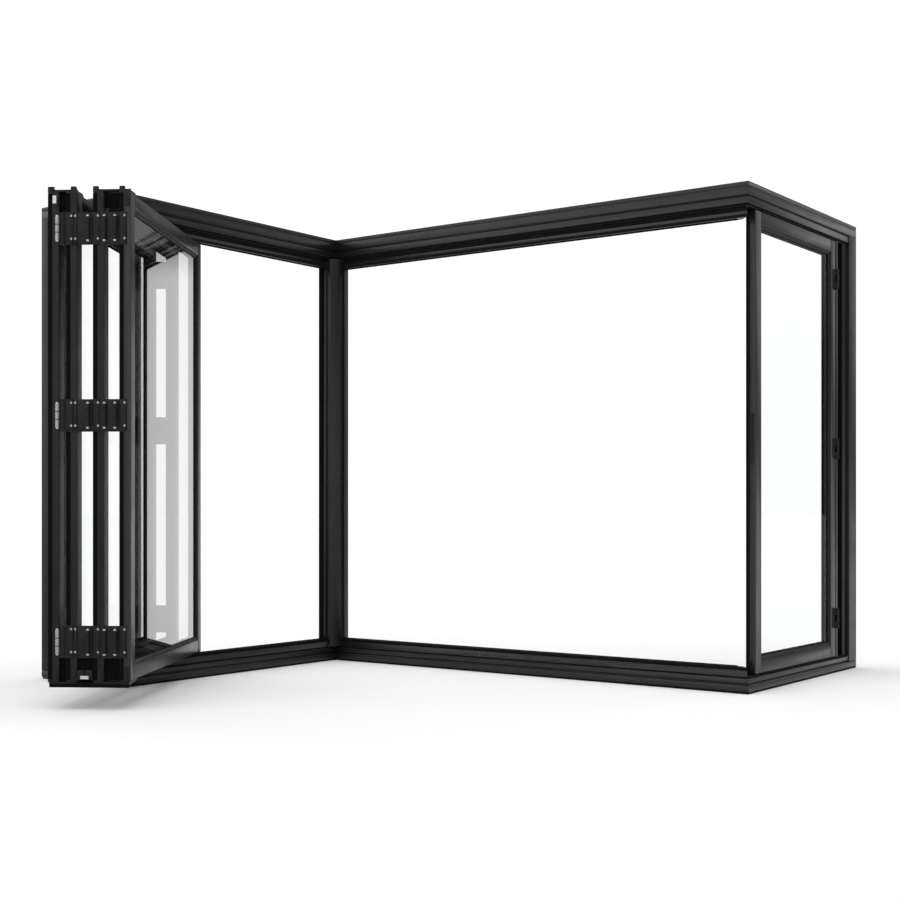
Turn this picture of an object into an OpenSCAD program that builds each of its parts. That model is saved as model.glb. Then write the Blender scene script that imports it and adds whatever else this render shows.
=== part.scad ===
// Aluminium patio door frame on a zig-zag plan, with four glazed leaves folded at one
// corner and one glazed swing door in the last run. Millimetres, +Z up.
// The origin lies on the floor, where the centre lines of runs A and B meet.

/* [Frame] */
// Height of the frame from the floor
frame_h = 2400; // [2200:10:2600]
// Depth of the frame from its outer to its inner face
frame_d = 75; // [72:1:90]
// Length of run D on its centre line, from the wall to the corner behind the leaves
run_d = 590; // [560:10:900]
// Length of run A on its centre line
run_a = 1560; // [1500:10:2000]
// Length of run B on its centre line
run_b = 2540; // [2000:10:3200]
// Length of run C from the centre line of run B to the wall
run_c = 1347; // [1260:1:1600]

/* [Head and sill] */
// Height of the flat face along the top of the head
head_face_h = 62; // [50:1:75]
// Height of the lip above the fine line in the head's face
head_lip_h = 20; // [14:1:26]
// Height of the band under the head's face
head_band_h = 36; // [30:1:46]
// Height of the recessed step under the band
head_step_h = 10; // [8:1:16]
// Depth that the track hangs below the head
head_track_h = 54; // [46:1:64]
// Height of the flange along the bottom of the head's track
head_flange_h = 30; // [24:1:34]
// Height of the recessed base under the sill's face
sill_base_h = 10; // [6:1:14]
// Top of the sill's face, from the floor
sill_face_h = 42; // [36:1:50]
// Height of the band above the sill's face
sill_band_h = 26; // [20:1:34]
// Height of the recessed step above that band
sill_step_h = 8; // [6:1:12]
// Height of the track above the sill
sill_track_h = 44; // [38:1:50]
// Height of the flange along the foot of the sill's track
sill_flange_h = 28; // [22:1:32]
// Height of the shadow groove between a face and its band
groove_h = 4; // [3:1:8]
// Depth of the shadow groove from the face
groove_in = 6; // [4:1:8]
// Setback of a band from the face beside it
band_in = 2.5; // [1:0.5:4]
// Setback of the recessed steps from the face
step_in = 12; // [9:1:14]
// Height of the fine lines cut into the faces
line_h = 2.5; // [2:0.5:4]
// Depth of the fine lines
line_in = 2; // [1:0.5:3]
// Chamfer on the long edges of the head and sill
edge_cut = 2; // [1:0.5:3]
// Chamfer along the nose of the sill
nose_cut = 4; // [2:0.5:6]
// Width of the tracks
track_w = 34; // [30:1:38]
// Width of the flanges on the tracks
flange_w = 48; // [42:1:54]
// Width of the wheel chamber inside the track
chamber_w = 22; // [18:1:24]
// Width of the slot that opens the chamber
slot_w = 9; // [8:0.5:11]

/* [Jambs and post] */
// Width of the left jamb's face
left_face_w = 62; // [50:1:80]
// Width of the left jamb's band
left_band_w = 46; // [36:1:60]
// Width of the right jamb's face
right_face_w = 104; // [80:1:120]
// Width of the right jamb's recessed band
right_band_w = 57; // [40:1:70]
// Setback of that band from the face
right_band_in = 16; // [12:1:20]
// Width of the channel beside that band
right_channel_w = 88; // [70:1:120]
// Setback of the channel's floor from the face
right_channel_in = 45; // [36:1:50]
// Width of the strip beside the door, which carries its hinges
hinge_strip_w = 30; // [28:1:50]
// Reach of the post past the inner corner along run A
post_leg_a = 48; // [40:1:60]
// Reach of the post past the inner corner along run B
post_leg_b = 30; // [26:1:50]
// How far the rib on a post or jamb stands proud
rib_proud = 14; // [8:1:16]
// Width of those ribs
rib_w = 22; // [18:1:26]
// Width of the seal channels in the post
seal_w = 14; // [10:1:18]
// Depth of the seal channels
seal_in = 8; // [5:1:12]

/* [Leaves] */
// Width of a folded leaf
leaf_w = 1250; // [1150:10:1300]
// Thickness of a leaf
leaf_t = 52; // [50:1:58]
// Width of the stiles and rails
sash_w = 62; // [50:1:70]
// Width of the glazing beads
bead_w = 17; // [14:1:22]
// Setback of the beads from the leaf's faces
bead_in = 3; // [2:0.5:5]
// Height of the step in a bead
bead_step = 3; // [2:0.5:4]
// Width of the rebate along a leaf's upright edges, at the back
rebate_w = 22; // [18:1:26]
// Depth of that rebate
rebate_in = 8; // [5:1:10]
// Thickness of each pane
pane_t = 6; // [4:1:8]
// Space between the panes
pane_gap = 14; // [10:1:16]
// Space between leaves 3 and 4
gap_34 = 64; // [50:1:80]
// Space between leaves 2 and 3
gap_23 = 66; // [50:1:80]
// Space between leaves 1 and 2
gap_12 = 28; // [24:1:50]
// Direction of the folded leaves in plan, from their near ends
stack_angle = 122.4; // [118:0.1:128]
// Place of the front leaf's near corner across the run
stack_x = 660; // [640:5:700]
// Place of the front leaf's near corner along the run, past the corner of runs D and A
stack_y = 540; // [500:5:560]

/* [Swing door] */
// Setback of the door from the frame's outer face
door_in = 8; // [6:1:10]
// Space between run B and the door's closing edge
door_lead_gap = 20; // [12:1:26]
// Clearance round the moving door
door_clear = 6; // [5:0.5:8]
// Space between the head band and the top of the door
door_top_gap = 8; // [6:1:12]
// Overlap of the door and the stop behind it
stop_lap = 20; // [16:1:26]

/* [Fittings] */
// Radius of the folding hinges' barrels
barrel_r = 9; // [6:0.5:10]
// Height of a folding hinge
fold_hinge_h = 140; // [120:5:170]
// Length of those hinges' barrels
barrel_h = 100; // [80:5:120]
// Height of the lower hinges' middle
hinge_low = 295; // [275:5:500]
// Height of the middle hinges' middle
hinge_mid = 1270; // [1000:10:1400]
// Distance of the upper hinges' middle below the top of the frame
hinge_top_drop = 325; // [320:5:500]
// Length of the carriages along a leaf
carriage_l = 96; // [80:2:120]
// Thickness of the carriages' bars and base plates
carriage_t = 8; // [6:1:9]
// Radius of the swing door hinges' barrels
door_barrel_r = 9; // [7:0.5:9]
// Radius of the swing door hinges' pins
door_pin_r = 4; // [3:0.5:5]
// Height of a swing door hinge
door_hinge_h = 100; // [80:5:120]

/* [Hidden] */

hd = frame_d / 2;
frame_colour = [0.13, 0.13, 0.14];
bead_colour = [0.07, 0.07, 0.08];
glass_colour = [0.85, 0.92, 0.95, 0.3];
fitting_colour = [0.3, 0.3, 0.32];
curve_n = 32;

// Levels of the head, from the top down, and of the sill, from the floor up
head_face_z = frame_h - head_face_h;
head_band_top = head_face_z - groove_h;
head_band_z = head_band_top - head_band_h;
head_under_z = head_band_z - head_step_h;
head_track_z = head_under_z - head_track_h;
sill_band_from = sill_face_h + groove_h;
sill_band_top = sill_band_from + sill_band_h;
sill_top_z = sill_band_top + sill_step_h;
sill_track_z = sill_top_z + sill_track_h;
chamber_lip = 10;
chamber_roof = 10;
chamber_top = head_under_z - chamber_roof;
slot_depth = sill_track_h - 8;
guide_slot_floor = sill_track_z - slot_depth;
left_w = left_face_w + groove_h + left_band_w;
post_a = hd + post_leg_a;
post_b = hd + post_leg_b;
rib_shift = 4;

// The swing door between the head band and the sill band
door_front = run_b + hd - door_in;
door_y0 = hd + door_lead_gap;
jamb_y0 = run_c - right_face_w - right_band_w - right_channel_w - hinge_strip_w;
door_y1 = jamb_y0 - door_clear;
door_w = door_y1 - door_y0;
door_bottom = sill_top_z + door_clear;
door_top = head_under_z - door_top_gap;
seal_gap = 5;
stop_front = hd - door_in - leaf_t - seal_gap;
stop_head_z = door_top - stop_lap;
stop_sill_z = door_bottom + stop_lap;
knuckle_off = 1;
hinge_axis_x = door_front + door_barrel_r + knuckle_off;
hinge_axis_y = door_y1 + door_clear / 2;

// The folded leaves between the sill track and the head track
leaf_gap = 6;
leaf_bottom = sill_track_z + leaf_gap;
leaf_top = head_track_z - leaf_gap;
leaf_offsets = [
    leaf_t * 3 + gap_34 + gap_23 + gap_12,
    leaf_t * 2 + gap_34 + gap_23,
    leaf_t + gap_34,
    0
];
stack_origin = [stack_x, -run_a - stack_y];
stack_dir = [cos(stack_angle), sin(stack_angle)];
stack_normal = [-sin(stack_angle), cos(stack_angle)];
hinge_levels = [hinge_low, hinge_mid, frame_h - hinge_top_drop];

// Plan outlines of the four runs, mitred where they meet
plan_d = [[-run_d, -run_a - hd], [hd, -run_a - hd], [-hd, -run_a + hd], [-run_d, -run_a + hd]];
plan_a = [[hd, -run_a - hd], [hd, -hd], [-hd, hd], [-hd, -run_a + hd]];
plan_b = [[hd, -hd], [run_b + hd, -hd], [run_b - hd, hd], [-hd, hd]];
plan_c = [[run_b + hd, -hd], [run_b + hd, run_c], [run_b - hd, run_c], [run_b - hd, hd]];

// Full outline of a section, from the points of its half beside +X, top to bottom
function both_sides(half) =
    concat(half, [for (i = [len(half) - 1:-1:0]) [-half[i][0], half[i][1]]]);

// Section of the head above its steps, with a fine line under the lip
module head_face_section() {
    lip_z = frame_h - head_lip_h;
    polygon(both_sides([
        [hd - edge_cut, frame_h], [hd, frame_h - edge_cut],
        [hd, lip_z], [hd - line_in, lip_z], [hd - line_in, lip_z - line_h], [hd, lip_z - line_h],
        [hd, head_face_z + edge_cut], [hd - edge_cut, head_face_z]
    ]));
}

// Below the head's face: shadow groove, band and recessed step
module head_band_section() {
    polygon(both_sides([
        [hd - groove_in, head_face_z], [hd - groove_in, head_band_top],
        [hd - band_in, head_band_top], [hd - band_in, head_band_z + edge_cut],
        [hd - band_in - edge_cut, head_band_z], [hd - step_in, head_band_z],
        [hd - step_in, head_under_z]
    ]));
}

// Track with its flange, wheel chamber and slot
module head_track_section() {
    flange_top = head_track_z + head_flange_h;
    line_z = head_track_z + head_flange_h / 3;
    difference() {
        polygon(both_sides([
            [track_w / 2, head_under_z], [track_w / 2, flange_top], [flange_w / 2, flange_top],
            [flange_w / 2, line_z], [flange_w / 2 - line_in, line_z],
            [flange_w / 2 - line_in, line_z - line_h], [flange_w / 2, line_z - line_h],
            [flange_w / 2, head_track_z]
        ]));
        translate([-chamber_w / 2, head_track_z + chamber_lip])
            square([chamber_w, chamber_top - head_track_z - chamber_lip]);
        translate([-slot_w / 2, head_track_z - 1]) square([slot_w, chamber_lip + 2]);
    }
}

// Foot of the sill: face with a chamfered nose, on a recessed base
module sill_face_section() {
    polygon(both_sides([
        [hd - nose_cut, sill_face_h], [hd, sill_face_h - nose_cut],
        [hd, sill_base_h], [hd - groove_in, sill_base_h], [hd - groove_in, 0]
    ]));
}

// Above the sill's face: shadow groove, band and recessed step
module sill_band_section() {
    polygon(both_sides([
        [hd - step_in, sill_top_z], [hd - step_in, sill_band_top],
        [hd - band_in - edge_cut, sill_band_top], [hd - band_in, sill_band_top - edge_cut],
        [hd - band_in, sill_band_from], [hd - groove_in, sill_band_from],
        [hd - groove_in, sill_face_h]
    ]));
}

// Track of the sill with its flange, and the slot that the guide pins run in
module sill_track_section() {
    flange_top = sill_top_z + sill_flange_h;
    difference() {
        polygon(both_sides([
            [track_w / 2, sill_track_z], [track_w / 2, flange_top],
            [flange_w / 2, flange_top], [flange_w / 2, sill_top_z]
        ]));
        translate([-slot_w / 2, guide_slot_floor]) square([slot_w, slot_depth + 1]);
    }
}

// Stop behind the swing door, on the inner side of run C
module stop_section(z0, z1) {
    translate([-hd + band_in, z0]) square([stop_front + hd - band_in, z1 - z0]);
}

// Filling of the recessed step on the inner side, where the stop stands
module step_filling(z0, z1) {
    translate([-hd + band_in, z0]) square([step_in, z1 - z0]);
}

// A section drawn across a run along X, from x0 to x1
module along_x(x0, x1) {
    translate([x0, 0, 0]) rotate([90, 0, 90]) linear_extrude(x1 - x0) children();
}

// A section drawn across a run along Y, from y0 to y1
module along_y(y0, y1) {
    translate([0, y1, 0]) rotate([90, 0, 0]) linear_extrude(y1 - y0) children();
}

// Cuts a run to its plan outline
module mitred(plan) {
    intersection() {
        children();
        translate([0, 0, -1]) linear_extrude(frame_h + 2) polygon(plan);
    }
}

module head_d() {
    color(frame_colour) mitred(plan_d) translate([0, -run_a, 0]) union() {
        along_x(-run_d, hd) head_face_section();
        along_x(-run_d + left_face_w, hd) head_band_section();
        along_x(-run_d + left_w, hd) head_track_section();
    }
}

module head_a() {
    color(frame_colour) mitred(plan_a) union() {
        along_y(-run_a - hd, hd) head_face_section();
        along_y(-run_a - hd, hd) head_band_section();
        along_y(-run_a - hd, -post_a) head_track_section();
    }
}

module head_b() {
    color(frame_colour) mitred(plan_b) union() {
        along_x(-hd, run_b + hd) head_face_section();
        along_x(-hd, run_b + hd) head_band_section();
        along_x(post_b, run_b + hd) head_track_section();
    }
}

module head_c() {
    color(frame_colour) mitred(plan_c) translate([run_b, 0, 0]) union() {
        along_y(-hd, run_c) head_face_section();
        along_y(-hd, run_c - right_face_w) head_band_section();
        along_y(-hd, jamb_y0) stop_section(stop_head_z, head_under_z);
        along_y(-hd, run_c - right_face_w) step_filling(head_under_z, head_band_z);
    }
}

module sill_d() {
    color(frame_colour) mitred(plan_d) translate([0, -run_a, 0]) union() {
        along_x(-run_d, hd) sill_face_section();
        along_x(-run_d + left_face_w, hd) sill_band_section();
        along_x(-run_d + left_w, hd) sill_track_section();
    }
}

module sill_a() {
    color(frame_colour) mitred(plan_a) union() {
        along_y(-run_a - hd, hd) sill_face_section();
        along_y(-run_a - hd, hd) sill_band_section();
        along_y(-run_a - hd, -post_a) sill_track_section();
    }
}

module sill_b() {
    color(frame_colour) mitred(plan_b) union() {
        along_x(-hd, run_b + hd) sill_face_section();
        along_x(-hd, run_b + hd) sill_band_section();
        along_x(post_b, run_b + hd) sill_track_section();
    }
}

module sill_c() {
    color(frame_colour) mitred(plan_c) translate([run_b, 0, 0]) union() {
        along_y(-hd, run_c) sill_face_section();
        along_y(-hd, run_c - right_face_w) sill_band_section();
        along_y(-hd, jamb_y0) stop_section(sill_top_z, stop_sill_z);
        along_y(-hd, run_c - right_face_w) step_filling(sill_band_top, sill_top_z);
    }
}

module left_jamb() {
    color(frame_colour) translate([-run_d, -run_a, 0]) {
        translate([0, -hd, sill_face_h]) cube([left_face_w, frame_d, head_face_z - sill_face_h]);
        translate([left_face_w, -hd + groove_in, sill_top_z])
            cube([groove_h, frame_d - 2 * groove_in, head_under_z - sill_top_z]);
        translate([left_face_w + groove_h, -hd + band_in, sill_top_z])
            cube([left_band_w, frame_d - 2 * band_in, head_under_z - sill_top_z]);
        translate([left_w, -rib_w / 2, sill_track_z])
            cube([rib_proud, rib_w, head_track_z - sill_track_z]);
    }
}

// Post that fills the inner corner: a flat face across it, and a rib and a seal channel
// on each side
module inner_corner_post() {
    channel_from = rib_w / 2 - rib_shift + 1;
    color(frame_colour) {
        translate([0, 0, sill_top_z]) linear_extrude(head_under_z - sill_top_z) difference() {
            polygon([[-hd, hd], [-hd, -post_a], [hd, -post_a], [post_b, -hd], [post_b, hd]]);
            translate([-channel_from - seal_w, -post_a - 1]) square([seal_w, seal_in + 1]);
            translate([post_b - seal_in, channel_from]) square([seal_in + 1, seal_w]);
        }
        translate([rib_shift - rib_w / 2, -post_a - rib_proud, sill_track_z])
            cube([rib_w, rib_proud, head_track_z - sill_track_z]);
        translate([post_b, -rib_shift - rib_w / 2, sill_track_z])
            cube([rib_proud, rib_w, head_track_z - sill_track_z]);
    }
}

// Right jamb from its outer face in to the strip beside the door, and the stop behind the door
module right_jamb() {
    back = -hd + band_in;
    face_y = run_c - right_face_w;
    strip_y = jamb_y0 + hinge_strip_w;
    h = head_under_z - sill_top_z;
    color(frame_colour) translate([run_b, 0, 0]) {
        translate([-hd, face_y, sill_face_h]) cube([frame_d, right_face_w, head_face_z - sill_face_h]);
        translate([0, 0, sill_top_z]) linear_extrude(h) polygon([
            [back, jamb_y0], [hd - door_in, jamb_y0], [hd - door_in, strip_y],
            [hd - right_channel_in, strip_y], [hd - right_channel_in, strip_y + right_channel_w],
            [hd - right_band_in, strip_y + right_channel_w], [hd - right_band_in, face_y],
            [back, face_y]
        ]);
        translate([back, jamb_y0 - stop_lap - door_clear, stop_sill_z])
            cube([stop_front - back, stop_lap + door_clear, stop_head_z - stop_sill_z]);
    }
}

// Plan of a stile beside a leaf's end, with the rebate at the back of its outer edge
module stile_plan() {
    polygon([
        [edge_cut, 0], [sash_w, 0], [sash_w, leaf_t], [rebate_in, leaf_t],
        [rebate_in, leaf_t - rebate_w], [0, leaf_t - rebate_w], [0, edge_cut]
    ]);
}

// Two stiles of a leaf of width w between levels z0 and z1
module stiles(w, z0, z1) {
    translate([0, 0, z0]) linear_extrude(z1 - z0) {
        stile_plan();
        translate([w, 0]) mirror([1, 0]) stile_plan();
    }
}

module rails(w, z0, z1) {
    for (z = [z0, z1 - sash_w])
        translate([sash_w, 0, z]) cube([w - 2 * sash_w, leaf_t, sash_w]);
}

// Upright rectangular ring, from the inside of the sash inwards by a width
module ring(w, z0, z1, inset, width, y, depth) {
    x0 = sash_w + inset;
    translate([0, y + depth, 0]) rotate([90, 0, 0]) linear_extrude(depth) difference() {
        translate([x0, z0 + x0]) square([w - 2 * x0, z1 - z0 - 2 * x0]);
        translate([x0 + width, z0 + x0 + width])
            square([w - 2 * (x0 + width), z1 - z0 - 2 * (x0 + width)]);
    }
}

pane_front = (leaf_t - pane_gap) / 2 - pane_t;
pane_edge = 4;
spacer_w = 9;

// Beads that hold the panes, and the spacer bar between the panes
module beads(w, z0, z1) {
    color(bead_colour) {
        step_y = bead_in + bead_step;
        ring(w, z0, z1, 0, bead_w, step_y, pane_front - step_y);
        ring(w, z0, z1, 0, bead_w / 2, bead_in, bead_step);
        ring(w, z0, z1, 0, bead_w, leaf_t - pane_front, pane_front - step_y);
        ring(w, z0, z1, 0, bead_w / 2, leaf_t - step_y, bead_step);
        ring(w, z0, z1, pane_edge, spacer_w, pane_front + pane_t, pane_gap);
    }
}

module panes(w, z0, z1) {
    x0 = sash_w + pane_edge;
    color(glass_colour) for (y = [pane_front, leaf_t - pane_front - pane_t])
        translate([x0, y, z0 + x0]) cube([w - 2 * x0, pane_t, z1 - z0 - 2 * x0]);
}

// Moves a child from the leaf's own axes to the folded stack
module in_stack(offset) {
    translate([stack_origin[0], stack_origin[1], 0])
        rotate([0, 0, stack_angle]) translate([0, offset, 0]) children();
}

module leaf_stiles(i) {
    color(frame_colour) in_stack(leaf_offsets[i]) stiles(leaf_w, leaf_bottom, leaf_top);
}

module leaf_rails(i) {
    color(frame_colour) in_stack(leaf_offsets[i]) rails(leaf_w, leaf_bottom, leaf_top);
}

module leaf_glass(i) {
    in_stack(leaf_offsets[i]) panes(leaf_w, leaf_bottom, leaf_top);
}

module leaf_beads(i) {
    in_stack(leaf_offsets[i]) beads(leaf_w, leaf_bottom, leaf_top);
}

plate_t = 4;
plate_back_w = 34;
plate_front_w = 16;
knuckle_gap = 3;
fold_line_w = 3;
fold_line_in = 2.5;
core_in = 1.5;
barrel_off = 0.5;
pin_head_r = 6;
pin_head_h = 5;

// Barrel of a folding hinge: three knuckles on a core, with the heads of its pin
module fold_barrel(r) {
    h = barrel_h;
    translate([0, 0, (fold_hinge_h - h) / 2]) {
        cylinder(r = r - core_in, h = h, $fn = curve_n);
        for (k = [0:2])
            translate([0, 0, k * (h + knuckle_gap) / 3])
                cylinder(r = r, h = (h - 2 * knuckle_gap) / 3, $fn = curve_n);
        translate([0, 0, -pin_head_h])
            cylinder(r = pin_head_r, h = h + 2 * pin_head_h, $fn = curve_n);
    }
}

// Folding hinge on the ends of two leaves: a plate across both, and its barrels.
// from_y and to_y are the facing sides of the two leaves, and side is the end's direction
module fold_hinge(from_y, to_y, barrel_ys, z, side) {
    out = side * (barrel_r + barrel_off);
    translate([0, 0, z - fold_hinge_h / 2]) {
        difference() {
            translate([side < 0 ? -plate_t : 0, from_y - plate_back_w, 0])
                cube([plate_t, to_y - from_y + plate_back_w + plate_front_w, fold_hinge_h]);
            for (y = [from_y, to_y - fold_line_w])
                translate([side < 0 ? -plate_t - 1 : plate_t - fold_line_in, y, -1])
                    cube([fold_line_in + 1, fold_line_w, fold_hinge_h + 2]);
        }
        for (y = barrel_ys) translate([out, y, 0]) fold_barrel(barrel_r);
    }
}

near_barrel_off = 14;
edge_barrel_off = 4;

module near_hinges() {
    pair_back = leaf_offsets[3] + leaf_t;
    color(fitting_colour) in_stack(0) for (z = hinge_levels) {
        fold_hinge(pair_back, leaf_offsets[2],
            [pair_back + near_barrel_off, leaf_offsets[2] - edge_barrel_off], z, -1);
        fold_hinge(leaf_offsets[1] + leaf_t, leaf_offsets[0], [leaf_offsets[0] + edge_barrel_off], z, -1);
    }
}

catch_in = 36;
catch_out = 4;
catch_h = 40;
catch_from = 4;
catch_split = 4;

// Catches that hold leaves 2 and 3 together: one at each hinge level, and the two halves
// of a block at the foot of the leaves
module middle_catches() {
    back = leaf_offsets[2] + leaf_t;
    block_t = (gap_23 - catch_split) / 2;
    color(fitting_colour) in_stack(0) {
        for (z = hinge_levels)
            fold_hinge(back, leaf_offsets[1], [back + gap_23 / 4], z, -1);
        for (y = [back, leaf_offsets[1] - block_t])
            translate([-catch_out, y, leaf_bottom + catch_from])
                cube([catch_in + catch_out, block_t, catch_h]);
    }
}

module far_hinges() {
    color(fitting_colour) in_stack(0) translate([leaf_w, 0, 0]) for (z = hinge_levels)
        fold_hinge(leaf_offsets[2] + leaf_t, leaf_offsets[1], [leaf_offsets[1] - gap_23 / 2], z, 1);
}

bracket_t = 3;
bracket_w = 24;
bracket_h = 60;
base_in = 3;
bar_in = 6;
wheel_r = 11;
wheel_w = 12;
wheel_in = 14;

// Carriage on the ends of two leaves, at a level above them (up = 1) or below (up = -1):
// a base plate with an end bracket on each leaf, a bar across both, and a wheel over each
module pair_carriage(y0, y1, level, up) {
    base_w = leaf_t - 2 * base_in;
    for (y = [y0, y1 - leaf_t]) {
        translate([-bracket_t, y + base_in, level - (up < 0 ? carriage_t : 0)])
            cube([carriage_l + bracket_t, base_w, carriage_t]);
        translate([-bracket_t, y + base_in, level - (up < 0 ? carriage_t : bracket_h)])
            cube([bracket_t, bracket_w, bracket_h + carriage_t]);
    }
    translate([0, y0 + bar_in, level + (up < 0 ? -2 * carriage_t : carriage_t)])
        cube([carriage_l, y1 - y0 - 2 * bar_in, carriage_t]);
    for (y = [y0 + wheel_in, y1 - wheel_in - wheel_w])
        translate([carriage_l / 2, y, level + up * 2 * carriage_t])
            rotate([-90, 0, 0]) cylinder(r = wheel_r, h = wheel_w, $fn = curve_n);
}

module top_carriages() {
    color(fitting_colour) in_stack(0) {
        pair_carriage(0, leaf_offsets[2] + leaf_t, leaf_top, 1);
        pair_carriage(leaf_offsets[1], leaf_offsets[0] + leaf_t, leaf_top, 1);
    }
}

module bottom_guides() {
    color(fitting_colour) in_stack(0) {
        pair_carriage(0, leaf_offsets[2] + leaf_t, leaf_bottom, -1);
        pair_carriage(leaf_offsets[1], leaf_offsets[0] + leaf_t, leaf_bottom, -1);
    }
}

// Point of a leaf's centre line that lies over the track of run A
function over_a(i) =
    let (start = stack_origin + stack_normal * (leaf_offsets[i] + leaf_t / 2),
         along = start[0] / -stack_dir[0])
    start + stack_dir * along;

// Point of a leaf's centre line that lies over the track of run D
function over_d(i) =
    let (start = stack_origin + stack_normal * (leaf_offsets[i] + leaf_t / 2),
         along = (-run_a - start[1]) / stack_dir[1])
    start + stack_dir * along;

// A leaf hangs from run A, or from run D where its centre line passes the corner
hang_points = [for (i = [0:3]) over_a(i)[1] > -run_a ? over_a(i) : over_d(i)];
hang_turns = [for (i = [0:3]) over_a(i)[1] > -run_a ? 90 : 0];
roller_l = 46;
roller_h = 20;
stem_r = 3.5;
stem_l = 26;
roller_clear = 2;

module track_rollers() {
    color(fitting_colour) for (i = [0:3])
        translate([hang_points[i][0], hang_points[i][1], 0]) {
            translate([0, 0, leaf_top]) cylinder(r = stem_r, h = stem_l, $fn = curve_n);
            translate([0, 0, head_track_z + chamber_lip]) rotate([0, 0, hang_turns[i]])
                translate([-roller_l / 2, -chamber_w / 2 + roller_clear, 0])
                    cube([roller_l, chamber_w - 2 * roller_clear, roller_h]);
        }
}

module guide_pins() {
    color(fitting_colour) for (i = [0:3])
        translate([hang_points[i][0], hang_points[i][1], guide_slot_floor])
            cylinder(r = stem_r, h = leaf_bottom - guide_slot_floor, $fn = curve_n);
}

// Moves a child from the leaf's own axes to the closed swing door
module in_door() {
    translate([door_front, door_y0, 0]) rotate([0, 0, 90]) children();
}

module door_stiles() {
    color(frame_colour) in_door() stiles(door_w, door_bottom, door_top);
}

module door_rails() {
    color(frame_colour) in_door() rails(door_w, door_bottom, door_top);
}

module door_glass() {
    in_door() panes(door_w, door_bottom, door_top);
}

module door_beads() {
    in_door() beads(door_w, door_bottom, door_top);
}

door_plate_t = 3;
door_plate_w = 30;
jamb_plate_w = 18;
hinge_end = 200;
door_hinge_levels = [door_bottom + hinge_end, (door_bottom + door_top) / 2, door_top - hinge_end];
knuckle_split = 1;
knuckle_h = (door_hinge_h - 2 * knuckle_split) / 3;
pin_clear = 0.05;

// One side of a door hinge's knuckle: its barrel and the block that joins it to its plate.
// side is -1 on the door and 1 on the jamb
module door_knuckle(side, z, h) {
    translate([hinge_axis_x, hinge_axis_y, z]) cylinder(r = door_barrel_r, h = h, $fn = curve_n);
    translate([door_front, hinge_axis_y + (side < 0 ? -door_barrel_r - knuckle_off : knuckle_off), z])
        cube([door_barrel_r + knuckle_off, door_barrel_r, h]);
}

// Plate of a door hinge, on the door's face or the jamb's strip
module door_hinge_plate(side) {
    from = door_barrel_r - knuckle_off;
    w = side < 0 ? door_plate_w : jamb_plate_w;
    translate([door_front, hinge_axis_y + (side < 0 ? -from - w : from), 0])
        cube([door_plate_t, w, door_hinge_h]);
}

// Door side of the hinges: plate, two knuckles and the pin
module door_hinge_leaves() {
    color(fitting_colour) for (z = door_hinge_levels) translate([0, 0, z - door_hinge_h / 2]) {
        door_hinge_plate(-1);
        for (z_knuckle = [0, door_hinge_h - knuckle_h]) door_knuckle(-1, z_knuckle, knuckle_h);
        translate([hinge_axis_x, hinge_axis_y, 0])
            cylinder(r = door_pin_r, h = door_hinge_h, $fn = curve_n);
    }
}

// Jamb side of the hinges: plate, and one knuckle with its bore
module jamb_hinge_leaves() {
    color(fitting_colour) for (z = door_hinge_levels) translate([0, 0, z - door_hinge_h / 2]) difference() {
        union() {
            door_hinge_plate(1);
            door_knuckle(1, knuckle_h + knuckle_split, knuckle_h);
        }
        translate([hinge_axis_x, hinge_axis_y, -1])
            cylinder(r = door_pin_r + pin_clear, h = door_hinge_h + 2, $fn = curve_n);
    }
}

lock_plate_z = 1080;
lock_plate_h = 240;
lock_plate_w = 22;
lock_plate_t = 3;
lock_plate_in = 19;
bolt_w = 10;
bolt_h = 26;
bolt_out = 4;
bolt_drop = 40;

// Faceplate of the lock on the door's closing edge, with its bolt
module door_lock_plate() {
    color(fitting_colour) translate([door_front - lock_plate_in, door_y0, 0]) {
        translate([-lock_plate_w / 2, -lock_plate_t, lock_plate_z])
            cube([lock_plate_w, lock_plate_t, lock_plate_h]);
        translate([-bolt_w / 2, -lock_plate_t - bolt_out, lock_plate_z + lock_plate_h - bolt_drop])
            cube([bolt_w, bolt_out + lock_plate_t / 2, bolt_h]);
    }
}

head_d();
head_a();
head_b();
head_c();
sill_d();
sill_a();
sill_b();
sill_c();
left_jamb();
inner_corner_post();
right_jamb();
leaf_stiles(0);  // leaf_1_stiles
leaf_rails(0);  // leaf_1_rails
leaf_glass(0);  // leaf_1_glass
leaf_beads(0);  // leaf_1_beads
leaf_stiles(1);  // leaf_2_stiles
leaf_rails(1);  // leaf_2_rails
leaf_glass(1);  // leaf_2_glass
leaf_beads(1);  // leaf_2_beads
leaf_stiles(2);  // leaf_3_stiles
leaf_rails(2);  // leaf_3_rails
leaf_glass(2);  // leaf_3_glass
leaf_beads(2);  // leaf_3_beads
leaf_stiles(3);  // leaf_4_stiles
leaf_rails(3);  // leaf_4_rails
leaf_glass(3);  // leaf_4_glass
leaf_beads(3);  // leaf_4_beads
near_hinges();
middle_catches();
far_hinges();
top_carriages();
bottom_guides();
track_rollers();
guide_pins();
door_stiles();
door_rails();
door_glass();
door_beads();
door_hinge_leaves();
jamb_hinge_leaves();
door_lock_plate();
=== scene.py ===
import math

import bmesh
import bpy
from mathutils import Matrix, Vector


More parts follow.
